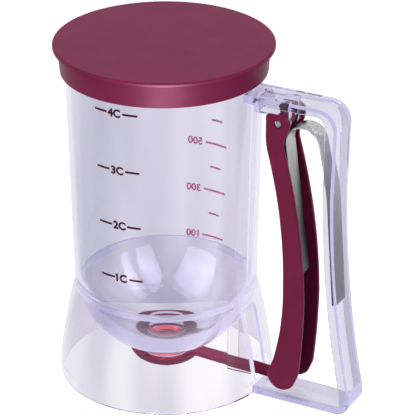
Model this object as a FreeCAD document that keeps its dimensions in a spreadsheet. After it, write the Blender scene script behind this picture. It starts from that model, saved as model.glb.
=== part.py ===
import FreeCAD, Part
import math
import os
import types

import Sketcher

# Driving sizes of the dispenser, in millimetres and degrees
SIZES = {
    # clear container: tube, bowl and outlet
    "rim_radius": 52.3,
    "rim_height": 188.4,
    "waist_radius": 49.5,
    "waist_height": 54.6,
    "tube_wall": 2.4,
    "bowl_radius": 48.9,
    "bowl_centre": 61.1,
    "bowl_seat": 65.0,
    "spigot_depth": 4.0,
    "outlet_radius": 10.2,
    "outlet_wall": 2.5,
    "outlet_height": 10.2,
    # clear base skirt
    "skirt_radius": 58.5,
    "skirt_lip": 6.0,
    "skirt_curve": 420.0,
    "skirt_wall": 2.2,
    "slot_width": 12.0,
    "slot_bottom": 5.5,
    "slot_top": 46.0,
    "guide_wall": 2.0,
    "guide_inner": 41.2,
    "guide_bottom": 10.5,
    # clear handle frame
    "handle_width": 19.0,
    "handle_wall": 2.2,
    "handle_web": 2.2,
    "handle_edge": 0.8,
    "arm_gap": 2.2,
    "arm_depth": 4.6,
    "grip_depth": 5.8,
    "foot_depth": 5.0,
    "corner_start": 93.0,
    "corner_radius": 10.6,
    "grip_neck": 102.5,
    "grip_neck_drop": 48.6,
    "grip_curve": 590.0,
    "grip_heel": 114.4,
    "heel_height": 11.0,
    "heel_radius": 8.0,
    "inner_corner": 5.0,
    "end_wall": 2.5,
    # hinge of the trigger
    "pin_x": 71.0,
    "pin_drop": 7.7,
    "pin_radius": 1.5,
    "pin_inset": 0.9,
    "pin_play": 0.06,
    "lug_radius": 4.8,
    "lug_wall": 3.4,
    "lug_front": 56.0,
    "lug_drop": 4.4,
    "lug_face": 2.0,
    "hub_radius": 4.0,
    "hub_width": 7.0,
    "hinge_gap": 0.4,
    # trigger lever
    "trigger_width": 21.0,
    "cheek_wall": 2.2,
    "cheek_radius": 6.8,
    "cheek_hole": 2.1,
    "finger_wall": 5.2,
    "web_drop": 9.3,
    "chin_drop": 8.3,
    "chin_curve": 33.0,
    "front_neck": 65.2,
    "front_neck_drop": 15.8,
    "front_belly": 75.2,
    "belly_height": 70.0,
    "front_curve_upper": 279.0,
    "front_curve_lower": 157.0,
    "front_ankle": 70.0,
    "ankle_height": 24.5,
    "rear_belly": 87.4,
    "rear_belly_height": 62.0,
    "rear_ankle": 84.8,
    "rear_ankle_height": 18.0,
    "rear_curve_lower": 420.0,
    "rear_curve_upper": 348.0,
    "rear_neck": 74.9,
    "rear_neck_drop": 15.3,
    "nape_x": 76.3,
    "nape_drop": 4.3,
    "nape_curve": 12.0,
    "foot_x": 75.0,
    "foot_height": 15.3,
    "foot_radius": 8.1,
    "foot_turn_deg": 30.0,
    # valve: arm, cup and seal
    "arm_width": 7.8,
    "arm_thickness": 2.6,
    "arm_inner": 17.6,
    "arm_inner_height": 11.2,
    "arm_outer": 73.0,
    "arm_outer_height": 8.8,
    "cup_radius": 19.8,
    "cup_floor_radius": 15.0,
    "cup_base": 6.5,
    "cup_height": 5.5,
    "cup_wall": 1.5,
    "cup_curve": 9.0,
    "boss_radius": 5.4,
    "boss_height": 2.6,
    "rib_width": 1.2,
    "rib_height": 1.7,
    "seal_radius": 11.4,
    "seal_step": 0.7,
    "valve_gap": 0.3,
    # leaf spring
    "strip_width": 10.0,
    "strip_thickness": 0.9,
    "bend_x": 83.0,
    "bend_drop": 11.3,
    "bend_radius": 9.8,
    "front_lean_deg": 7.6,
    "front_leg": 73.5,
    "rear_lean_deg": 11.4,
    "rear_leg": 21.9,
    "tail_lean_deg": 4.2,
    "tail_turn": 80.0,
    "tail_leg": 57.7,
    # lid
    "lid_gap": 0.3,
    "lid_side": 2.0,
    "lid_flare": 1.0,
    "lid_overhang": 2.6,
    "lid_plate": 2.0,
    "lid_edge": 1.0,
    "lid_drop": 14.9,
    "lip_wall": 1.6,
    "lip_drop": 6.0,
}

LEFT = 1
RIGHT = -1
FLAT = 0.001


class Size:
    """A number together with the sheet expression that gives it."""

    def __init__(self, value, text):
        self.value = float(value)
        self.text = text

    def __add__(self, other):
        other = as_size(other)
        return Size(self.value + other.value, f"({self.text} + {other.text})")

    def __sub__(self, other):
        other = as_size(other)
        return Size(self.value - other.value, f"({self.text} - {other.text})")

    def __mul__(self, other):
        other = as_size(other)
        return Size(self.value * other.value, f"({self.text} * {other.text})")

    def __truediv__(self, other):
        other = as_size(other)
        return Size(self.value / other.value, f"({self.text} / {other.text})")


def as_size(number):
    return number if isinstance(number, Size) else Size(number, str(number))


def root(square):
    return Size(math.sqrt(square.value), f"sqrt({square.text})")


def cosine(angle):
    return Size(math.cos(math.radians(angle.value)), f"cos({angle.text} * 1 deg)")


def sine(angle):
    return Size(math.sin(math.radians(angle.value)), f"sin({angle.text} * 1 deg)")


size = types.SimpleNamespace(**{name: Size(value, "Sizes." + name) for name, value in SIZES.items()})
ZERO = Size(0, "0")

doc = FreeCAD.newDocument("BatterDispenser")
sheet = doc.addObject("Spreadsheet::Sheet", "Sizes")
for row, (name, value) in enumerate(SIZES.items(), start=1):
    sheet.set(f"A{row}", name)
    sheet.set(f"B{row}", str(value))
    sheet.setAlias(f"B{row}", name)
doc.recompute()


def new_body(label):
    body = doc.addObject("PartDesign::Body", label)
    body.Label = label
    return body


def origin_feature(body, role):
    return next(item for item in body.Origin.OriginFeatures if item.Role == role)


def new_sketch(body, role, name):
    sketch = body.newObject("Sketcher::SketchObject", name)
    sketch.AttachmentSupport = [(origin_feature(body, role), "")]
    sketch.MapMode = "FlatFace"
    return sketch


def bind(sketch, constraint, length):
    number = sketch.addConstraint(constraint)
    sketch.setExpression(f"Constraints[{number}]", length.text)


def place_point(sketch, piece, end, x, y):
    """Fixes one end of a piece at x, y from the sketch's origin."""
    if x.value == 0:
        sketch.addConstraint(Sketcher.Constraint("PointOnObject", piece, end, -2))
    else:
        bind(sketch, Sketcher.Constraint("DistanceX", -1, 1, piece, end, x.value), x)
    if y.value == 0:
        sketch.addConstraint(Sketcher.Constraint("PointOnObject", piece, end, -1))
    else:
        bind(sketch, Sketcher.Constraint("DistanceY", -1, 1, piece, end, y.value), y)


def arc_between(start, end, radius, turn):
    """The arc of under a half circle that turns left or right on its way from start to end."""
    chord = end - start
    height = math.sqrt(radius**2 - (chord.Length / 2) ** 2)
    sideways = FreeCAD.Vector(-chord.y, chord.x, 0).normalize()
    centre = (start + end) * 0.5 + sideways * (height * turn)
    first, last = (start, end) if turn == LEFT else (end, start)
    angle_first = math.atan2(first.y - centre.y, first.x - centre.x)
    angle_last = math.atan2(last.y - centre.y, last.x - centre.x)
    if angle_last < angle_first:
        angle_last += 2 * math.pi
    circle = Part.Circle(centre, FreeCAD.Vector(0, 0, 1), radius)
    return Part.ArcOfCircle(circle, angle_first, angle_last)


def draw_outline(sketch, corners):
    """A closed outline. A corner is (x, y), or (x, y, radius, turn) when an arc leads to it."""
    ends = []
    before = corners[-1]
    for corner in corners:
        start = FreeCAD.Vector(before[0].value, before[1].value, 0)
        end = FreeCAD.Vector(corner[0].value, corner[1].value, 0)
        if len(corner) == 2:
            piece = sketch.addGeometry(Part.LineSegment(start, end))
            ends.append((piece, 1, 2))
        else:
            radius, turn = corner[2:]
            piece = sketch.addGeometry(arc_between(start, end, radius.value, turn))
            ends.append((piece, 1, 2) if turn == LEFT else (piece, 2, 1))
            bind(sketch, Sketcher.Constraint("Radius", piece, radius.value), radius)
        place_point(sketch, piece, ends[-1][2], corner[0], corner[1])
        before = corner
    for (piece, _, last), (after, first, _) in zip(ends, ends[1:] + ends[:1]):
        sketch.addConstraint(Sketcher.Constraint("Coincident", piece, last, after, first))


def draw_circle(sketch, x, y, radius):
    centre = FreeCAD.Vector(x.value, y.value, 0)
    piece = sketch.addGeometry(Part.Circle(centre, FreeCAD.Vector(0, 0, 1), radius.value))
    place_point(sketch, piece, 3, x, y)
    bind(sketch, Sketcher.Constraint("Radius", piece, radius.value), radius)


def turned(body, kind, name, corners):
    """A revolution or groove about the upright axis, from a half section in the XZ plane."""
    sketch = new_sketch(body, "XZ_Plane", name + "_section")
    draw_outline(sketch, corners)
    feature = body.newObject("PartDesign::" + kind, name)
    feature.Profile = sketch
    feature.ReferenceAxis = (sketch, ["V_Axis"])
    feature.Angle = 360
    body.Tip = feature
    doc.recompute()
    return feature


def straight(body, kind, name, width, corners=None, circle=None):
    """A pad or pocket of the given width, half of it on each side of the XZ plane."""
    sketch = new_sketch(body, "XZ_Plane", name + "_outline")
    if circle:
        draw_circle(sketch, *circle)
    else:
        draw_outline(sketch, corners)
    feature = body.newObject("PartDesign::" + kind, name)
    feature.Profile = sketch
    feature.SideType = "Symmetric"
    feature.setExpression("Length", width.text)
    body.Tip = feature
    doc.recompute()
    return feature


def soften_sides(body, name, radius):
    """Rounds the outline of the flat faces that close a straight body on both sides."""
    base = body.Tip
    reach = base.Shape.BoundBox.YMax
    faces = [f"Face{number}" for number, face in enumerate(base.Shape.Faces, start=1)
             if abs(abs(face.CenterOfMass.y) - reach) < FLAT]
    fillet = body.newObject("PartDesign::Fillet", name)
    fillet.Base = (base, faces)
    fillet.setExpression("Radius", radius.text)
    body.Tip = fillet
    doc.recompute()


# Shared places that several pieces take their size from
spigot_height = size.waist_height - size.spigot_depth
spigot_radius = root(size.bowl_radius * size.bowl_radius
                     - (size.bowl_centre - spigot_height) * (size.bowl_centre - spigot_height))
outlet_outer = size.outlet_radius + size.outlet_wall
tube_taper = (size.rim_radius - size.waist_radius) / (size.rim_height - size.waist_height)
bowl_inner = size.waist_radius - size.tube_wall + tube_taper * (size.bowl_seat - size.waist_height)
lid_inner_height = size.rim_height + size.lid_gap
lid_top = lid_inner_height + size.lid_plate
lid_bottom = lid_top - size.lid_drop
lid_inner_radius = size.rim_radius + size.lid_gap
arm_top = lid_bottom - size.arm_gap
arm_under = arm_top - size.arm_depth
pin_height = arm_under - size.pin_drop


def ball_height(centre, ball, radius):
    """Height of a ball's underside at a distance from the axis."""
    return centre - root(ball * ball - radius * radius)


# Container: tapered tube, round bowl with a thicker floor and short outlet in one clear piece
container = new_body("container")
turned(container, "Revolution", "container_wall", [
    (size.waist_radius, size.waist_height),
    (size.rim_radius, size.rim_height),
    (size.rim_radius - size.tube_wall, size.rim_height),
    (bowl_inner, size.bowl_seat),
    (size.outlet_radius, ball_height(size.bowl_seat, bowl_inner, size.outlet_radius),
     bowl_inner, RIGHT),
    (size.outlet_radius, size.outlet_height),
    (outlet_outer, size.outlet_height),
    (outlet_outer, ball_height(size.bowl_centre, size.bowl_radius, outlet_outer)),
    (spigot_radius, spigot_height, size.bowl_radius, LEFT),
    (spigot_radius, size.waist_height),
])

# Base skirt: flared clear skirt, the slot for the arm and two upright guide walls beside it
skirt_inner = size.skirt_radius - size.skirt_wall
base_skirt = new_body("base_skirt")
turned(base_skirt, "Revolution", "skirt_wall_ring", [
    (size.skirt_radius, ZERO),
    (size.skirt_radius, size.skirt_lip),
    (size.waist_radius, size.waist_height, size.skirt_curve, LEFT),
    (spigot_radius, size.waist_height),
    (spigot_radius, spigot_height),
    (skirt_inner, size.skirt_lip, size.skirt_curve, RIGHT),
    (skirt_inner, ZERO),
])
guide_reach = size.bowl_radius + size.valve_gap
guide_inner_top = ball_height(size.bowl_centre, guide_reach, size.guide_inner)
guide_outer = spigot_radius - size.valve_gap
guide_outer_top = ball_height(size.bowl_centre, guide_reach, guide_outer)
straight(base_skirt, "Pad", "guide_block", size.slot_width + size.guide_wall * 2, [
    (size.guide_inner, size.guide_bottom),
    (skirt_inner + size.skirt_wall / 2, size.guide_bottom),
    (spigot_radius + size.skirt_wall / 2, guide_outer_top),
    (guide_outer, guide_outer_top),
    (size.guide_inner, guide_inner_top, guide_reach, RIGHT),
])
straight(base_skirt, "Pocket", "arm_slot", size.slot_width, [
    (size.guide_inner - size.skirt_wall, size.slot_bottom),
    (size.skirt_radius + size.skirt_wall, size.slot_bottom),
    (size.skirt_radius + size.skirt_wall, size.slot_top),
    (size.guide_inner - size.skirt_wall, size.slot_top),
])

# Handle frame: a C of open channel from the tube round to the foot of the skirt
block_start = size.waist_radius / 2
neck_height = arm_top - size.grip_neck_drop
corner_end = size.corner_start + size.corner_radius


def frame_outline(top_start, base_start, inset, opening):
    """The C from the side: its outer line moved in by inset, its inner line out into the opening."""
    top = arm_top - inset
    neck = size.grip_neck - inset
    heel = size.grip_heel - inset
    base = ZERO + inset
    inner_top = arm_under - opening
    inner_neck = size.grip_neck - size.grip_depth - opening
    inner_heel = size.grip_heel - size.grip_depth - opening
    inner_base = size.foot_depth + opening
    return [
        (top_start, top),
        (top_start, inner_top),
        (inner_neck - size.inner_corner, inner_top),
        (inner_neck, inner_top - size.inner_corner, size.inner_corner, RIGHT),
        (inner_neck, neck_height),
        (inner_heel, size.heel_height, size.grip_curve, LEFT),
        (inner_heel, inner_base),
        (base_start, inner_base),
        (base_start, base),
        (heel - size.heel_radius, base),
        (heel, base + size.heel_radius, size.heel_radius, LEFT),
        (heel, size.heel_height + inset),
        (neck, neck_height, size.grip_curve, RIGHT),
        (corner_end - inset, top - size.corner_radius),
        (size.corner_start - inset, top, size.corner_radius, LEFT),
    ]


handle_frame = new_body("handle_frame")
channel_width = size.handle_width - size.handle_wall * 2
straight(handle_frame, "Pad", "frame_block", size.handle_width,
         frame_outline(block_start, block_start, ZERO, ZERO))
soften_sides(handle_frame, "frame_edges", size.handle_edge)
straight(handle_frame, "Pocket", "frame_channel", channel_width,
         frame_outline(size.lug_front, size.skirt_radius + size.end_wall,
                       size.handle_web, size.handle_web))

# Hinge lugs: two ears under the top arm, with the slot between them for the hub
lug_gap = size.hub_width + size.hinge_gap * 2
lug_root = arm_top - size.handle_web / 2
lug_foot = arm_under - size.lug_drop
straight(handle_frame, "Pad", "lug_block", lug_gap + size.lug_wall * 2, [
    (size.lug_front, lug_root),
    (size.lug_front, lug_foot),
    (size.pin_x - size.lug_radius, lug_foot),
    (size.pin_x - size.lug_radius, pin_height),
    (size.pin_x, pin_height - size.lug_radius, size.lug_radius, LEFT),
    (size.pin_x + size.lug_radius, pin_height, size.lug_radius, LEFT),
    (size.pin_x + size.lug_radius, lug_root),
])
straight(handle_frame, "Pocket", "lug_slot", lug_gap, [
    (size.lug_front + size.lug_face, pin_height - size.lug_radius * 2),
    (size.pin_x + size.lug_radius * 2, pin_height - size.lug_radius * 2),
    (size.pin_x + size.lug_radius * 2, arm_top - size.handle_web),
    (size.lug_front + size.lug_face, arm_top - size.handle_web),
])
straight(handle_frame, "Pocket", "lug_bore", size.handle_width,
         circle=(size.pin_x, pin_height, size.pin_radius))
turned(handle_frame, "Groove", "fit_to_tube_and_skirt", [
    (ZERO, ZERO),
    (size.skirt_radius, ZERO),
    (size.skirt_radius, size.skirt_lip),
    (size.waist_radius, size.waist_height, size.skirt_curve, LEFT),
    (size.rim_radius, size.rim_height),
    (ZERO, size.rim_height),
])

# Trigger lever: two curved cheeks joined by the finger wall, round hinge ears and a round foot
foot_side = size.foot_radius * cosine(size.foot_turn_deg)
foot_lift = size.foot_radius * sine(size.foot_turn_deg)
front_neck_height = pin_height - size.front_neck_drop
web_top = pin_height - size.web_drop
ear_front = size.pin_x - size.cheek_radius
beyond = size.cheek_radius
trigger_lever = new_body("trigger_lever")
straight(trigger_lever, "Pad", "lever_block", size.trigger_width, [
    (ear_front, pin_height, size.cheek_radius, LEFT),
    (ear_front, pin_height - size.chin_drop),
    (size.front_neck, front_neck_height, size.chin_curve, LEFT),
    (size.front_belly, size.belly_height, size.front_curve_upper, RIGHT),
    (size.front_ankle, size.ankle_height, size.front_curve_lower, RIGHT),
    (size.foot_x - foot_side, size.foot_height + foot_lift),
    (size.foot_x, size.foot_height - size.foot_radius, size.foot_radius, LEFT),
    (size.foot_x + foot_side, size.foot_height - foot_lift, size.foot_radius, LEFT),
    (size.rear_ankle, size.rear_ankle_height),
    (size.rear_belly, size.rear_belly_height, size.rear_curve_lower, LEFT),
    (size.rear_neck, pin_height - size.rear_neck_drop, size.rear_curve_upper, LEFT),
    (size.nape_x, pin_height - size.nape_drop, size.nape_curve, RIGHT),
    (size.pin_x + size.cheek_radius, pin_height),
    (size.pin_x, pin_height + size.cheek_radius, size.cheek_radius, LEFT),
])
straight(trigger_lever, "Pocket", "lever_channel", size.trigger_width - size.cheek_wall * 2, [
    (ear_front - beyond, web_top),
    (ear_front + size.finger_wall, web_top),
    (size.front_neck + size.finger_wall, front_neck_height),
    (size.front_belly + size.finger_wall, size.belly_height, size.front_curve_upper, RIGHT),
    (size.front_ankle + size.finger_wall, size.ankle_height, size.front_curve_lower, RIGHT),
    (size.rear_belly + beyond, size.ankle_height),
    (size.rear_belly + beyond, pin_height + size.cheek_radius + beyond),
    (ear_front - beyond, pin_height + size.cheek_radius + beyond),
])
straight(trigger_lever, "Pocket", "cheek_holes", size.trigger_width,
         circle=(size.pin_x, pin_height, size.cheek_hole))
straight(trigger_lever, "Pad", "hub_neck", size.hub_width, [
    (size.front_neck, front_neck_height),
    (size.front_neck + size.finger_wall, front_neck_height),
    (size.pin_x + size.hub_radius / 2, pin_height - size.hub_radius / 2),
    (size.pin_x - size.hub_radius / 2, pin_height - size.hub_radius / 2),
])
straight(trigger_lever, "Pad", "hub", size.hub_width,
         circle=(size.pin_x, pin_height, size.hub_radius))
straight(trigger_lever, "Pocket", "hub_bore", size.hub_width,
         circle=(size.pin_x, pin_height, size.pin_radius + size.pin_play))


def arm_height(x):
    """Height of the arm's underside at a distance from the axis."""
    slope = (size.arm_inner_height - size.arm_outer_height) / (size.arm_outer - size.arm_inner)
    return size.arm_outer_height + slope * (size.arm_outer - x)


def arm_outline(start):
    return [
        (start, arm_height(start)),
        (size.arm_outer, size.arm_outer_height),
        (size.arm_outer, size.arm_outer_height + size.arm_thickness),
        (start, arm_height(start) + size.arm_thickness),
    ]


straight(trigger_lever, "Pocket", "arm_socket", size.arm_width,
         arm_outline(size.foot_x - size.foot_radius * 2))

# Valve arm: the flat arm and the shallow ribbed cup that closes the outlet
cup_floor = size.cup_base + size.cup_wall
cup_rim = size.cup_base + size.cup_height
boss_top = cup_floor + size.boss_height
valve_arm = new_body("valve_arm")
turned(valve_arm, "Revolution", "cup", [
    (ZERO, size.cup_base),
    (size.cup_floor_radius, size.cup_base),
    (size.cup_radius, cup_rim, size.cup_curve, LEFT),
    (size.cup_radius - size.cup_wall, cup_rim),
    (size.cup_floor_radius, cup_floor, size.cup_curve - size.cup_wall, RIGHT),
    (size.boss_radius, cup_floor),
    (size.boss_radius, boss_top),
    (ZERO, boss_top),
])
rib = straight(valve_arm, "Pad", "cup_rib", size.rib_width, [
    (size.seal_radius, cup_floor - size.cup_wall / 2),
    (size.cup_radius - size.cup_wall * 2, cup_floor - size.cup_wall / 2),
    (size.cup_radius - size.cup_wall, cup_floor + size.rib_height),
    (size.seal_radius, cup_floor + size.rib_height),
])
ribs = valve_arm.newObject("PartDesign::PolarPattern", "cup_ribs")
ribs.Originals = [rib]
ribs.Axis = (origin_feature(valve_arm, "Z_Axis"), [""])
ribs.Angle = 360
ribs.Occurrences = 6
valve_arm.Tip = ribs
doc.recompute()
straight(valve_arm, "Pad", "arm", size.arm_width, arm_outline(size.arm_inner))

# Valve seal: the soft ring that lies round the boss of the cup and closes the outlet
seal_top = size.outlet_height - size.valve_gap
valve_seal = new_body("valve_seal")
turned(valve_seal, "Revolution", "seal_ring", [
    (size.boss_radius, cup_floor),
    (size.seal_radius, cup_floor),
    (size.seal_radius, seal_top),
    (size.outlet_radius - size.seal_step, seal_top),
    (size.outlet_radius - size.seal_step * 2, seal_top + size.seal_step),
    (size.boss_radius, seal_top + size.seal_step),
])

# Hinge pin: a plain steel pin held in the lugs
hinge_pin = doc.addObject("Part::Cylinder", "hinge_pin")
hinge_pin.Label = "hinge_pin"
pin_length = size.trigger_width - size.pin_inset * 2
hinge_pin.setExpression("Radius", size.pin_radius.text)
hinge_pin.setExpression("Height", pin_length.text)
hinge_pin.Placement = FreeCAD.Placement(FreeCAD.Vector(0, 0, 0),
                                        FreeCAD.Rotation(FreeCAD.Vector(1, 0, 0), 90))
hinge_pin.setExpression("Placement.Base.x", size.pin_x.text)
hinge_pin.setExpression("Placement.Base.y", (pin_length / 2).text)
hinge_pin.setExpression("Placement.Base.z", pin_height.text)


def moved(point, direction, distance):
    return (point[0] + direction[0] * distance, point[1] + direction[1] * distance)


def side_of_leg(lean):
    """Direction across a leg that leans back by an angle, towards the handle."""
    return (cosine(lean), sine(lean))


def down_leg(lean):
    return (sine(lean), ZERO - cosine(lean))


# Leaf spring: one steel strip, bent over the top, with a leg in the lever and a leg in the handle
bend = (size.bend_x, pin_height - size.bend_drop)
half_strip = size.strip_thickness / 2
front_side = side_of_leg(size.front_lean_deg)
rear_side = side_of_leg(size.rear_lean_deg)
tail_side = side_of_leg(size.tail_lean_deg)
rear_bend = moved(bend, rear_side, size.bend_radius)
tail_start = moved(rear_bend, down_leg(size.rear_lean_deg), size.rear_leg)
tail_centre = moved(tail_start, rear_side, ZERO - size.tail_turn)


def strip_face(offset):
    """The strip's points on one face, from the front leg's end to the tail's end."""
    front_top = moved(bend, front_side, ZERO - size.bend_radius - offset)
    tail_top = moved(tail_centre, tail_side, size.tail_turn + offset)
    return [
        moved(front_top, down_leg(size.front_lean_deg), size.front_leg),
        front_top,
        (size.bend_x, bend[1] + size.bend_radius + offset),
        moved(rear_bend, rear_side, offset),
        moved(tail_start, rear_side, offset),
        tail_top,
        moved(tail_top, down_leg(size.tail_lean_deg), size.tail_leg),
    ]


outer = strip_face(half_strip)
inner = strip_face(ZERO - half_strip)
outer_bend = size.bend_radius + half_strip
inner_bend = size.bend_radius - half_strip
leaf_spring = new_body("leaf_spring")
straight(leaf_spring, "Pad", "strip", size.strip_width, [
    outer[0],
    outer[1],
    (*outer[2], outer_bend, RIGHT),
    (*outer[3], outer_bend, RIGHT),
    outer[4],
    (*outer[5], size.tail_turn + half_strip, RIGHT),
    outer[6],
    inner[6],
    inner[5],
    (*inner[4], size.tail_turn - half_strip, LEFT),
    inner[3],
    (*inner[2], inner_bend, LEFT),
    (*inner[1], inner_bend, LEFT),
    inner[0],
])

# Lid: a flat disc with a thin overhanging edge, a tapered skirt and an inner lip round the rim
lip_outer = size.rim_radius - size.tube_wall - size.lid_gap * 2
lip_inner = lip_outer - size.lip_wall
skirt_bottom_radius = lid_inner_radius + size.lid_side
skirt_top_radius = skirt_bottom_radius + size.lid_flare
lid_radius = skirt_top_radius + size.lid_overhang
lid = new_body("lid")
turned(lid, "Revolution", "lid_shell", [
    (ZERO, lid_inner_height),
    (lip_inner, lid_inner_height),
    (lip_inner, lid_inner_height - size.lip_drop),
    (lip_outer, lid_inner_height - size.lip_drop),
    (lip_outer, lid_inner_height),
    (lid_inner_radius, lid_inner_height),
    (lid_inner_radius, lid_bottom),
    (skirt_bottom_radius, lid_bottom),
    (skirt_top_radius, lid_inner_height),
    (lid_radius, lid_inner_height),
    (lid_radius, lid_top - size.lid_edge),
    (lid_radius - size.lid_edge, lid_top, size.lid_edge, LEFT),
    (ZERO, lid_top),
])

PIECES = [lid, container, base_skirt, handle_frame, hinge_pin, leaf_spring,
          trigger_lever, valve_arm, valve_seal]
doc.recompute()
for item in doc.Objects:
    if "Invalid" in item.State or "Error" in item.State:
        raise RuntimeError(f"{item.Name} failed: {item.State}")
for piece in PIECES:
    if piece.Shape.isNull() or not piece.Shape.isValid() or len(piece.Shape.Solids) != 1:
        raise RuntimeError(f"{piece.Label} is not one valid solid")

os.makedirs("parts", exist_ok=True)
for piece in PIECES:
    piece.Shape.exportStep(f"parts/{piece.Label}.step")
    box = piece.Shape.BoundBox
    print(f"{piece.Label:14s} {piece.Shape.Volume:10.1f} mm3  "
          f"x {box.XMin:.1f}..{box.XMax:.1f}  y {box.YMin:.1f}..{box.YMax:.1f}  "
          f"z {box.ZMin:.1f}..{box.ZMax:.1f}")
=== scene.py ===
import math

import bmesh
import bpy
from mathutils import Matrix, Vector


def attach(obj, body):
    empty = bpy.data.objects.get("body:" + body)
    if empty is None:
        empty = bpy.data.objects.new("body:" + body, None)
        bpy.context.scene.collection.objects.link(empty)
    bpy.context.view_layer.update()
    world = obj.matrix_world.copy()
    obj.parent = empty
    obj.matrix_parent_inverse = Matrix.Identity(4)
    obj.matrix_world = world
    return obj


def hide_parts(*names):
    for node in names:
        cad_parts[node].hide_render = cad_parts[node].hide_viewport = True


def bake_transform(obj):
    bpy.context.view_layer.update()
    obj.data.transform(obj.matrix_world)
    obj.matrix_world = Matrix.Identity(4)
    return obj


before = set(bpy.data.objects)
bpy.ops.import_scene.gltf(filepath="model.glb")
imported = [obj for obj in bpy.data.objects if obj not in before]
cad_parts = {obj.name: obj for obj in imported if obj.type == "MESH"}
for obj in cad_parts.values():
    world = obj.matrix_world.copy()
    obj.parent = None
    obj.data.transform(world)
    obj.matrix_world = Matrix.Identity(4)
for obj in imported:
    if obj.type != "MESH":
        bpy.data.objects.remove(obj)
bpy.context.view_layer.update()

MM = 0.001


# Camera, at the photograph's viewing angle

CAMERA_AZIMUTH, CAMERA_ELEVATION = 27.587, 25.703
CAMERA_TARGET = Vector((25.75, 0.0, 99.92)) * MM
CAMERA_DISTANCE = 1.2584


def direction(azimuth, elevation):
    """Unit vector at an azimuth from the object's front and an elevation, both in degrees."""
    turn, rise = math.radians(azimuth), math.radians(elevation)
    return Vector((math.sin(turn) * math.cos(rise), -math.cos(turn) * math.cos(rise), math.sin(rise)))


def add_camera():
    back = direction(CAMERA_AZIMUTH, CAMERA_ELEVATION)
    data = bpy.data.cameras.new("camera")
    data.sensor_width = 36.0
    data.lens = 205.0
    data.clip_start = 0.05
    data.clip_end = 20.0
    camera = bpy.data.objects.new("camera", data)
    camera.location = CAMERA_TARGET + back * CAMERA_DISTANCE
    camera.rotation_euler = back.to_track_quat("Z", "Y").to_euler()
    bpy.context.collection.objects.link(camera)
    bpy.context.scene.camera = camera


add_camera()


# Node helpers

def new_material(name):
    material = bpy.data.materials.new(name)
    material.use_nodes = True
    nodes, links = material.node_tree.nodes, material.node_tree.links
    return material, nodes, links, nodes["Principled BSDF"], nodes["Material Output"]


def noise(nodes, links, scale, detail=2.0, stretch=(1, 1, 1)):
    """A noise pattern over the object, scale in waves per metre."""
    place = nodes.new("ShaderNodeTexCoord")
    mapping = nodes.new("ShaderNodeMapping")
    mapping.inputs["Scale"].default_value = stretch
    pattern = nodes.new("ShaderNodeTexNoise")
    pattern.inputs["Scale"].default_value = scale
    pattern.inputs["Detail"].default_value = detail
    links.new(place.outputs["Object"], mapping.inputs["Vector"])
    links.new(mapping.outputs["Vector"], pattern.inputs["Vector"])
    return pattern.outputs["Fac"]


def height_of(nodes, links):
    """Height above the plane the object stands on, in metres."""
    place = nodes.new("ShaderNodeTexCoord")
    split = nodes.new("ShaderNodeSeparateXYZ")
    links.new(place.outputs["Object"], split.inputs["Vector"])
    return split.outputs["Z"]


def ramp(nodes, links, source, low, high, start=0.3, end=0.7):
    """Spreads a pattern between two colours or two numbers."""
    if isinstance(low, float):
        scale = nodes.new("ShaderNodeMapRange")
        scale.inputs["From Min"].default_value = start
        scale.inputs["From Max"].default_value = end
        scale.inputs["To Min"].default_value = low
        scale.inputs["To Max"].default_value = high
        links.new(source, scale.inputs["Value"])
        return scale.outputs["Result"]
    scale = nodes.new("ShaderNodeValToRGB")
    first, last = scale.color_ramp.elements
    first.position, last.position = start, end
    first.color, last.color = (*low, 1), (*high, 1)
    links.new(source, scale.inputs["Fac"])
    return scale.outputs["Color"]


def combine(nodes, links, operation, first, second):
    """A Math node on a socket and either another socket or a number."""
    node = nodes.new("ShaderNodeMath")
    node.operation = operation
    links.new(first, node.inputs[0])
    if isinstance(second, float):
        node.inputs[1].default_value = second
    else:
        links.new(second, node.inputs[1])
    return node.outputs["Value"]


def mix_shaders(nodes, links, share, first, second):
    mix = nodes.new("ShaderNodeMixShader")
    links.new(share, mix.inputs["Fac"])
    links.new(first, mix.inputs[1])
    links.new(second, mix.inputs[2])
    return mix.outputs["Shader"]


def bump(nodes, links, source, strength, distance, target):
    node = nodes.new("ShaderNodeBump")
    node.inputs["Strength"].default_value = strength
    node.inputs["Distance"].default_value = distance
    links.new(source, node.inputs["Height"])
    links.new(node.outputs["Normal"], target)


# Materials

GRAIN_DEPTH = 0.00004
PLASTIC_GLOSS_TINT = (1.0, 0.45, 0.6, 1)
CLEAR_GLOSS_TINT = (0.42, 0.42, 0.45, 1)
CLEAR_IOR = 1.49
LAMP_LIGHT_THROUGH = (0.93, 0.93, 0.96, 1)
# Light that has bounced more than this often inside clear plastic ends in a painted glow: emitted
# light in the plastic's pale tint
LAST_BOUNCE, LAST_GLINT = 9.0, 2.0
DEEP_GLOW = (0.84, 0.82, 0.96, 1)
# Heights in metres between which the steel's painted shade turns into painted highlight
PAINTED_SHADE_LOW, PAINTED_SHADE_HIGH = 0.1, 0.152


def moulded_plastic(name, dark, light, rough_low, rough_high, shine):
    """Moulded plastic: a slow drift of colour, a fine moulded grain and a soft gloss."""
    material, nodes, links, shader, _ = new_material(name)
    drift = noise(nodes, links, 35.0, 3.0)
    links.new(ramp(nodes, links, drift, dark, light), shader.inputs["Base Color"])
    grain = noise(nodes, links, 2600.0, 2.0)
    links.new(ramp(nodes, links, noise(nodes, links, 160.0, 4.0), rough_low, rough_high),
              shader.inputs["Roughness"])
    bump(nodes, links, grain, 0.12, GRAIN_DEPTH, shader.inputs["Normal"])
    shader.inputs["Specular IOR Level"].default_value = shine
    shader.inputs["Specular Tint"].default_value = PLASTIC_GLOSS_TINT
    return material


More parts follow.
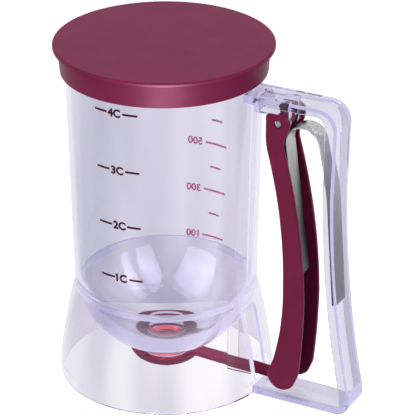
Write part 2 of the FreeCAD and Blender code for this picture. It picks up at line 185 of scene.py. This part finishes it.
def clear_plastic(name, deep, pale, violet, density, roughness=(0.01, 0.035)):
    """Clear plastic: bands from deep to pale down the moulding, partly streaks from the moulding and
    partly painted reflection bands, a violet body tint, and a painted glow in a pale tint where light
    has bounced many times.
    """
    material, nodes, links, shader, output = new_material(name)
    # Vertical bands of tint: partly streaks from the moulding, partly painted reflection bands in
    # place of softbox reflections
    flow_and_reflection_bands = noise(nodes, links, 30.0, 1.5, (1, 1, 0.12))
    links.new(ramp(nodes, links, flow_and_reflection_bands, deep, pale, 0.35, 0.65), shader.inputs["Base Color"])
    shader.inputs["Transmission Weight"].default_value = 1.0
    shader.inputs["IOR"].default_value = CLEAR_IOR
    shader.inputs["Specular Tint"].default_value = CLEAR_GLOSS_TINT
    waves = noise(nodes, links, 45.0, 2.0, (1, 1, 0.25))
    links.new(ramp(nodes, links, waves, *roughness), shader.inputs["Roughness"])
    bump(nodes, links, waves, 0.05, 0.0004, shader.inputs["Normal"])
    absorb = nodes.new("ShaderNodeVolumeAbsorption")
    absorb.inputs["Color"].default_value = (*violet, 1)
    absorb.inputs["Density"].default_value = density
    links.new(absorb.outputs["Volume"], output.inputs["Volume"])
    path = nodes.new("ShaderNodeLightPath")
    see_through = nodes.new("ShaderNodeBsdfTransparent")
    see_through.inputs["Color"].default_value = LAMP_LIGHT_THROUGH
    surface = mix_shaders(nodes, links, path.outputs["Is Shadow Ray"],
                          shader.outputs["BSDF"], see_through.outputs["BSDF"])
    bounces = combine(nodes, links, "GREATER_THAN", path.outputs["Ray Depth"], LAST_BOUNCE)
    glints = combine(nodes, links, "GREATER_THAN", path.outputs["Glossy Depth"], LAST_GLINT)
    ended = combine(nodes, links, "MAXIMUM", bounces, glints)
    # Painted glow: the plastic emits its pale tint on these deep paths instead of ending them dark
    tint = nodes.new("ShaderNodeEmission")
    tint.inputs["Color"].default_value = DEEP_GLOW
    surface = mix_shaders(nodes, links, ended, surface, tint.outputs["Emission"])
    links.new(surface, output.inputs["Surface"])
    return material


def steel(name, dark, light, rough_low, rough_high, stretch):
    """Rolled steel: fine lines, a satin shine, and painted shade by height: darker towards its low end
    and painted brighter than its own colour towards its top.
    """
    material, nodes, links, shader, _ = new_material(name)
    lines = noise(nodes, links, 700.0, 3.0, stretch)
    tone = nodes.new("ShaderNodeMixRGB")
    tone.blend_type = "MULTIPLY"
    tone.inputs["Fac"].default_value = 1.0
    links.new(ramp(nodes, links, lines, dark, light), tone.inputs["Color1"])
    # Painted shade and painted highlight: the steel's colour is multiplied down near its low end and
    # up past its own colour near its top
    painted_shade = ramp(nodes, links, height_of(nodes, links),
                 (0.22, 0.22, 0.23), (1.4, 1.4, 1.4), PAINTED_SHADE_LOW, PAINTED_SHADE_HIGH)
    links.new(painted_shade, tone.inputs["Color2"])
    links.new(tone.outputs["Color"], shader.inputs["Base Color"])
    links.new(ramp(nodes, links, lines, rough_low, rough_high), shader.inputs["Roughness"])
    bump(nodes, links, lines, 0.15, 0.00002, shader.inputs["Normal"])
    shader.inputs["Metallic"].default_value = 1.0
    shader.inputs["Anisotropic"].default_value = 0.4
    return material


def silicone(name):
    """Red silicone: nearly matt, with light that spreads a little under its skin."""
    material, nodes, links, shader, _ = new_material(name)
    drift = noise(nodes, links, 220.0, 3.0)
    links.new(ramp(nodes, links, drift, (0.36, 0.01, 0.01), (0.46, 0.018, 0.014)),
              shader.inputs["Base Color"])
    links.new(ramp(nodes, links, drift, 0.38, 0.5), shader.inputs["Roughness"])
    bump(nodes, links, noise(nodes, links, 1800.0), 0.1, 0.00003, shader.inputs["Normal"])
    shader.inputs["Subsurface Weight"].default_value = 0.1
    shader.inputs["Subsurface Radius"].default_value = (0.003, 0.001, 0.001)
    return material


def ink(name, dark, light):
    """Printing ink: matt, a little uneven in its cover."""
    material, nodes, links, shader, _ = new_material(name)
    wear = noise(nodes, links, 1500.0, 3.0)
    links.new(ramp(nodes, links, wear, dark, light), shader.inputs["Base Color"])
    shader.inputs["Specular IOR Level"].default_value = 0.1
    links.new(ramp(nodes, links, wear, 0.45, 0.6), shader.inputs["Roughness"])
    return material


LID = moulded_plastic("lid_plastic", (0.165, 0.01, 0.052), (0.185, 0.014, 0.062), 0.34, 0.38, 0.06)
LEVER = moulded_plastic("lever_plastic", (0.12, 0.006, 0.034), (0.145, 0.009, 0.042), 0.36, 0.4, 0.2)
# Painted shade: a darker copy of the lever plastic for the inner faces of the lever's channel, where
# little light falls
LEVER_PAINTED_SHADE = moulded_plastic("lever_painted_shade", (0.055, 0.003, 0.014), (0.075, 0.004, 0.02),
                         0.45, 0.55, 0.1)
VALVE = moulded_plastic("valve_plastic", (0.1, 0.004, 0.022), (0.12, 0.006, 0.028),
                        0.38, 0.45, 0.04)
CLEAR = clear_plastic("clear_plastic", (0.67, 0.66, 0.745), (0.87, 0.86, 0.925),
                      (0.62, 0.6, 0.95), 12.0)
SKIRT = clear_plastic("skirt_plastic", (0.68, 0.66, 0.76), (0.98, 0.96, 0.99),
                      (0.62, 0.6, 0.95), 10.0)
HANDLE = clear_plastic("handle_plastic", (0.62, 0.605, 0.71), (0.78, 0.76, 0.85),
                       (0.6, 0.58, 0.9), 40.0)
STRIP = steel("strip_steel", (0.24, 0.24, 0.235), (0.46, 0.46, 0.45), 0.24, 0.34, (1, 6, 0.05))
PIN_STEEL = steel("pin_steel", (0.12, 0.12, 0.12), (0.3, 0.3, 0.3), 0.2, 0.3, (1, 1, 1))
SEAL = silicone("seal_silicone")
CUP_INK = ink("cup_ink", (0.03, 0.001, 0.004), (0.06, 0.003, 0.008))
MILLILITRE_INK = ink("millilitre_ink", (0.13, 0.012, 0.032), (0.2, 0.02, 0.05))


def dress(node, material):
    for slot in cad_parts[node].material_slots:
        slot.material = material


for node, material in {"lid": LID, "container": CLEAR, "base_skirt": SKIRT, "handle_frame": HANDLE,
                       "hinge_pin": PIN_STEEL, "leaf_spring": STRIP, "trigger_lever": LEVER,
                       "valve_arm": VALVE, "valve_seal": SEAL}.items():
    dress(node, material)


# Printed scales on the tube

WAIST_RADIUS, WAIST_HEIGHT = 49.5, 54.6
RIM_RADIUS, RIM_HEIGHT = 52.3, 188.4
INK_LIFT = 0.12
BAR_STEP = 0.8
NEAR, FAR = math.radians(-90), math.radians(90)
CUP_BAR, CUP_FIGURE, CUP_BOLD = 1.2, 6.0, 0.28
MILLILITRE_BAR, MILLILITRE_FIGURE, MILLILITRE_BOLD = 1.1, 5.9, 0.16
TOP_TICK, TICK_STEP, TICK_DRIFT = 127.5, 14.12, 0.4
LABELLED = (500, 300, 100)


def tube_radius(height):
    share = (height - WAIST_HEIGHT) / (RIM_HEIGHT - WAIST_HEIGHT)
    return WAIST_RADIUS + (RIM_RADIUS - WAIST_RADIUS) * share


def on_tube(along, height, centre_angle):
    """A point of the print: along runs rightwards round the wall as seen from outside, in mm."""
    radius = tube_radius(height) + INK_LIFT
    angle = centre_angle + along / radius
    return Vector((radius * math.cos(angle), radius * math.sin(angle), height)) * MM


def add_bar(mesh, left, right, height, thickness, centre_angle):
    """A printed line round the wall, from left to right."""
    steps = max(2, round((right - left) / BAR_STEP))
    rows = []
    for index in range(steps + 1):
        along = left + (right - left) * index / steps
        rows.append([mesh.verts.new(on_tube(along, height + side * thickness / 2, centre_angle))
                     for side in (-1, 1)])
    for first, second in zip(rows, rows[1:]):
        mesh.faces.new((first[0], second[0], second[1], first[1]))


def add_flag(mesh, left, height, centre_angle):
    """The slanted stroke at the top of a figure one."""
    ends = ((left + 0.9, height + 2.5), (left + 0.9, height + 1.5),
            (left - 0.5, height + 0.8), (left - 0.5, height + 1.6))
    mesh.faces.new([mesh.verts.new(on_tube(along, up, centre_angle)) for along, up in ends])


def add_words(mesh, text, left, height, size, centre_angle, bold):
    """Figures or letters, their left end and middle height given, wrapped round the wall."""
    curve = bpy.data.curves.new("words", "FONT")
    curve.body = text
    curve.size = size
    curve.offset = bold
    curve.resolution_u = 6
    source = bpy.data.objects.new("words", curve)
    bpy.context.collection.objects.link(source)
    bpy.context.view_layer.update()
    flat = bpy.data.meshes.new_from_object(source)
    letters = bmesh.new()
    letters.from_mesh(flat)
    bmesh.ops.triangulate(letters, faces=letters.faces[:])
    bmesh.ops.subdivide_edges(letters, edges=letters.edges[:], cuts=1)
    low = min(v.co.x for v in letters.verts)
    middle = (min(v.co.y for v in letters.verts) + max(v.co.y for v in letters.verts)) / 2
    placed = {v: mesh.verts.new(on_tube(left + v.co.x - low, height + v.co.y - middle, centre_angle))
              for v in letters.verts}
    for face in letters.faces:
        mesh.faces.new([placed[v] for v in face.verts])
    letters.free()
    bpy.data.objects.remove(source)


def finish_print(mesh, name, colour):
    data = bpy.data.meshes.new(name)
    mesh.to_mesh(data)
    mesh.free()
    data.materials.append(colour)
    piece = bpy.data.objects.new(name, data)
    bpy.context.collection.objects.link(piece)
    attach(piece, "jug")


def cup_scale():
    """Cup marks on the near wall: a line, the figure with its letter, a line."""
    # cups, height, left line's start and end, figure's start, right line's start and end
    marks = ((4, 169.5, -12.8, -5.1, -4.6, 3.9, 12.2),
             (3, 137.4, -12.4, -4.5, -3.5, 4.6, 12.4),
             (2, 105.8, -12.0, -3.9, -3.2, 4.8, 12.4),
             (1, 74.8, -11.7, -3.2, -2.4, 5.4, 12.7))
    for cups, height, start, figure_gap, figure, letter_gap, end in marks:
        mesh = bmesh.new()
        add_bar(mesh, start, figure_gap, height, CUP_BAR, NEAR)
        add_bar(mesh, letter_gap, end, height, CUP_BAR, NEAR)
        add_words(mesh, f"{cups}C", figure, height, CUP_FIGURE, NEAR, CUP_BOLD)
        if cups == 1:
            add_flag(mesh, figure, height, NEAR)
        finish_print(mesh, f"cup_mark_{cups}", CUP_INK)


def millilitre_scale():
    """Millilitre ticks on the far wall, long ones with their figures."""
    for step, amount in enumerate(range(600, 0, -100)):
        height = TOP_TICK - TICK_STEP * step
        drift = TICK_DRIFT * step
        mesh = bmesh.new()
        if amount in LABELLED:
            add_bar(mesh, drift - 13.6, drift + 0.9, height, MILLILITRE_BAR, FAR)
            add_words(mesh, str(amount), drift + 3.0, height, MILLILITRE_FIGURE, FAR, MILLILITRE_BOLD)
        else:
            add_bar(mesh, drift - 9.8, drift - 2.6, height, MILLILITRE_BAR, FAR)
        finish_print(mesh, f"millilitre_mark_{amount}", MILLILITRE_INK)


cup_scale()
millilitre_scale()


# Leaf spring: the bent strip, its tail at the jug and its front leg at the trigger

STRIP_WIDENING = 1.1
STRIP_EDGE = 0.00018


def round_edges(piece, width, segments, angle):
    edge = piece.modifiers.new("edge", "BEVEL")
    edge.width = width
    edge.segments = segments
    edge.limit_method = "ANGLE"
    edge.angle_limit = math.radians(angle)


def leaf_spring():
    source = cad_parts["leaf_spring"]
    data = source.data.copy()
    data.name = "spring_strip"
    mesh = bmesh.new()
    mesh.from_mesh(data)
    bmesh.ops.remove_doubles(mesh, verts=mesh.verts, dist=0.000002)
    bmesh.ops.scale(mesh, verts=mesh.verts, vec=(1.0, STRIP_WIDENING, 1.0))
    for height in range(66, 158, 4):
        bmesh.ops.bisect_plane(mesh, geom=mesh.verts[:] + mesh.edges[:] + mesh.faces[:],
                               plane_co=(0, 0, height * MM), plane_no=(0, 0, 1), dist=0.000001)
    mesh.to_mesh(data)
    mesh.free()
    data.materials.clear()
    data.materials.append(STRIP)
    piece = bpy.data.objects.new("spring_strip", data)
    bpy.context.collection.objects.link(piece)
    round_edges(piece, STRIP_EDGE, 2, 50)
    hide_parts("leaf_spring")
    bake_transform(piece)


leaf_spring()


# Trigger lever: two cheeks joined by the finger wall, open down the back and through the foot

LEFT, RIGHT = 1, -1
PIN = (71.0, 161.3)
PIN_HOLE = 2.1
CHEEK_OUTER, CHEEK_INNER = 10.5, 8.3
HUB_RADIUS, HUB_HALF_WIDTH = 4.0, 3.5
HUB_NECK = ((66.5, 146.0), (70.0, 146.0))
WEB_TOP, FOOT_END = (64.2, 153.0), (75.2, 7.2)
EAR_FRONT, EAR_BACK = (64.2, 164.3), (77.8, 161.5)
ARC_STEP = math.radians(9)
LEVER_EDGE = 0.0007


def arc(start, end, radius, turn):
    """Points after start up to end, round a centre on the left or right of the way."""
    (x0, z0), (x1, z1) = start, end
    span = math.hypot(x1 - x0, z1 - z0)
    rise = math.sqrt(radius * radius - span * span / 4) * turn
    centre_x = (x0 + x1) / 2 - (z1 - z0) / span * rise
    centre_z = (z0 + z1) / 2 + (x1 - x0) / span * rise
    first = math.atan2(z0 - centre_z, x0 - centre_x)
    sweep = 2 * math.asin(span / 2 / radius) * turn
    steps = max(3, round(abs(sweep) / ARC_STEP), round(span / 6))
    angles = [first + sweep * step / steps for step in range(1, steps + 1)]
    return [(centre_x + radius * math.cos(a), centre_z + radius * math.sin(a)) for a in angles]


def ring(radius, degrees):
    """Points round the pin at these angles."""
    angles = [math.radians(degree) for degree in degrees]
    return [(PIN[0] + radius * math.cos(a), PIN[1] + radius * math.sin(a)) for a in angles]


def follow(start, *legs):
    """A line of points: each leg is an end point, with a radius and a turn where it is an arc."""
    line = [start]
    for leg in legs:
        line += arc(line[-1], *leg) if len(leg) == 3 else [leg]
    return line


def lever_front():
    """The front edge, from the web's top down to where the foot opens."""
    return follow(WEB_TOP,
                  ((65.2, 145.5), 33.0, LEFT),
                  ((75.2, 70.0), 279.0, RIGHT),
                  ((70.0, 24.5), 157.0, RIGHT),
                  (68.0, 19.35),
                  (FOOT_END, 8.1, LEFT))


def lever_back():
    """The rear edge, from where the foot opens up and over the ear to the web's top."""
    return follow(FOOT_END,
                  ((82.0, 11.25), 8.1, LEFT),
                  (84.8, 18.0),
                  ((87.4, 62.0), 420.0, LEFT),
                  ((74.9, 146.0), 348.0, LEFT),
                  ((76.3, 157.0), 12.0, RIGHT),
                  EAR_BACK,
                  ((73.0, 166.3), 4.8, LEFT),
                  (66.2, 166.3),
                  (EAR_FRONT, 2.0, LEFT),
                  WEB_TOP)


def lever_inner():
    """The finger wall's inner face, from where the foot opens up to the web's top."""
    return follow(FOOT_END,
                  (75.2, 24.5),
                  ((80.4, 70.0), 157.0, LEFT),
                  ((70.4, 145.5), 279.0, LEFT),
                  (69.4, 153.0),
                  WEB_TOP)


def trigger_lever():
    mesh = bmesh.new()
    made = {}

    def corner(point, level):
        key = (round(point[0], 3), round(point[1], 3), level)
        if key not in made:
            made[key] = mesh.verts.new(Vector((point[0], level, point[1])) * MM)
        return made[key]

    def walls(line, low, high, tone=0):
        for one, two in zip(line, line[1:]):
            corners = (corner(one, low), corner(two, low), corner(two, high), corner(one, high))
            mesh.faces.new(corners).material_index = tone

    def nearest(loop, point):
        return min(range(len(loop)), key=lambda index: math.dist(loop[index], point))

    def plate(loop, hole, level, tone=0):
        """A side face with a round hole, as two faces that meet beside the hole."""
        ahead, behind = nearest(loop, EAR_FRONT), nearest(loop, EAR_BACK)
        loop = loop[behind:] + loop[:behind]
        ahead = (ahead - behind) % len(loop)
        half = len(hole) // 2
        over = loop[:ahead + 1] + hole[half::-1]
        under = loop[ahead:] + loop[:1] + hole[:1] + hole[:half - 1:-1]
        for outline in (over, under):
            mesh.faces.new([corner(point, level) for point in outline]).material_index = tone

    front, back, inner = lever_front(), lever_back(), lever_inner()
    hole = ring(PIN_HOLE, range(0, 360, 15))
    low, low_inner, high_inner, high = -CHEEK_OUTER, -CHEEK_INNER, CHEEK_INNER, CHEEK_OUTER
    for bottom, top in ((low, low_inner), (low_inner, high_inner), (high_inner, high)):
        walls(front, bottom, top)
    for bottom, top in ((low, low_inner), (high_inner, high)):
        walls(back, bottom, top)
        walls(hole + hole[:1], bottom, top)
    # The finger wall's inner face and the cheeks' inner faces take the painted shade (material slot 1)
    walls(inner, low_inner, high_inner, 1)
    for level in (low, high):
        plate(front + back[1:-1], hole, level)
    for level in (low_inner, high_inner):
        plate(back + inner[-2:0:-1], hole, level, 1)

    hub = ring(HUB_RADIUS, range(-60, 241, 15)) + list(HUB_NECK)
    walls(hub + hub[:1], -HUB_HALF_WIDTH, HUB_HALF_WIDTH)
    for level in (-HUB_HALF_WIDTH, HUB_HALF_WIDTH):
        mesh.faces.new([corner(point, level) for point in hub])

    bmesh.ops.recalc_face_normals(mesh, faces=mesh.faces[:])
    for face in mesh.faces:
        face.smooth = True
    data = bpy.data.meshes.new("lever_shell")
    mesh.to_mesh(data)
    mesh.free()
    data.materials.append(LEVER)
    data.materials.append(LEVER_PAINTED_SHADE)
    piece = bpy.data.objects.new("lever_shell", data)
    bpy.context.collection.objects.link(piece)
    round_edges(piece, LEVER_EDGE, 3, 35)
    piece.modifiers.new("shading", "WEIGHTED_NORMAL")
    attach(piece, "trigger")
    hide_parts("trigger_lever")


trigger_lever()


# Floor, background and lights

FLOOR_COLOUR = (0.93, 0.93, 0.93, 1)
FLOOR_LIFT = (0.45, 0.45, 0.45, 1)
FLOOR_DROP = 0.0002
WORLD_LIGHT = 0.36
LAMP_TARGET = Vector((0.02, 0.0, 0.11))


def add_floor():
    """A pale floor that keeps the object's shadow, lifted towards white for the camera and
    plain white in gloss and through clear plastic."""
    material, nodes, links, shader, output = new_material("pale_floor")
    shader.inputs["Base Color"].default_value = FLOOR_COLOUR
    shader.inputs["Roughness"].default_value = 0.8
    shader.inputs["Specular IOR Level"].default_value = 0.1
    path = nodes.new("ShaderNodeLightPath")
    white = nodes.new("ShaderNodeEmission")
    white.inputs["Strength"].default_value = 1.0
    seen = combine(nodes, links, "MAXIMUM",
                   path.outputs["Is Glossy Ray"], path.outputs["Is Transmission Ray"])
    lift = nodes.new("ShaderNodeEmission")
    lift.inputs["Color"].default_value = FLOOR_LIFT
    links.new(path.outputs["Is Camera Ray"], lift.inputs["Strength"])
    plain = nodes.new("ShaderNodeAddShader")
    links.new(shader.outputs["BSDF"], plain.inputs[0])
    links.new(lift.outputs["Emission"], plain.inputs[1])
    surface = mix_shaders(nodes, links, seen, plain.outputs["Shader"], white.outputs["Emission"])
    links.new(surface, output.inputs["Surface"])
    data = bpy.data.meshes.new("floor")
    mesh = bmesh.new()
    bmesh.ops.create_grid(mesh, x_segments=1, y_segments=1, size=3.0)
    mesh.to_mesh(data)
    mesh.free()
    data.materials.append(material)
    floor = bpy.data.objects.new("floor", data)
    floor.location.z = -FLOOR_DROP
    bpy.context.collection.objects.link(floor)


def add_world():
    """Soft light from all sides, seen as white by the camera and in gloss and clear plastic."""
    world = bpy.data.worlds.new("world")
    world.use_nodes = True
    nodes, links = world.node_tree.nodes, world.node_tree.links
    light = nodes["Background"]
    light.inputs["Color"].default_value = (1, 1, 1, 1)
    light.inputs["Strength"].default_value = WORLD_LIGHT
    white = nodes.new("ShaderNodeBackground")
    white.inputs["Color"].default_value = (1, 1, 1, 1)
    white.inputs["Strength"].default_value = 1.0
    path = nodes.new("ShaderNodeLightPath")
    seen = path.outputs["Is Camera Ray"]
    for kind in ("Is Transmission Ray", "Is Glossy Ray"):
        seen = combine(nodes, links, "MAXIMUM", seen, path.outputs[kind])
    surface = mix_shaders(nodes, links, seen, light.outputs["Background"], white.outputs["Background"])
    links.new(surface, nodes["World Output"].inputs["Surface"])
    bpy.context.scene.world = world


def add_light(name, azimuth, elevation, distance, size, power, gloss_on=(), not_on=()):
    """A softbox by its direction from the object: gloss_on names the only nodes whose gloss it makes,
    and not_on those that it leaves out."""
    data = bpy.data.lights.new(name, "AREA")
    data.shape = "RECTANGLE"
    data.size, data.size_y = size
    data.energy = power
    lamp = bpy.data.objects.new(name, data)
    away = direction(azimuth, elevation)
    lamp.location = LAMP_TARGET + away * distance
    lamp.rotation_euler = away.to_track_quat("Z", "Y").to_euler()
    bpy.context.collection.objects.link(lamp)
    lamp.visible_diffuse = not gloss_on
    if gloss_on or not_on:
        lit = bpy.data.collections.new(name + "_lit")
        for node in gloss_on or not_on:
            lit.objects.link(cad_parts[node])
        for link in lit.collection_objects:
            link.light_linking.link_state = "INCLUDE" if gloss_on else "EXCLUDE"
        lamp.light_linking.receiver_collection = lit


add_floor()
add_world()
add_light("key", 24, 32, 1.6, (0.9, 0.7), 12.0, not_on=["container"])
add_light("top", 10, 80, 1.3, (0.9, 0.9), 6.0, not_on=["container"])
add_light("window_left", 72, 33, 1.6, (1.5, 1.6), 170.0, gloss_on=["container"])
add_light("window_right", -27, 33, 1.6, (1.5, 1.7), 180.0, gloss_on=["container"])
add_light("lid_glow", 28, -2, 1.3, (0.6, 0.2), 900.0, gloss_on=["lid"])

scene = bpy.context.scene
scene.view_settings.view_transform = "Standard"
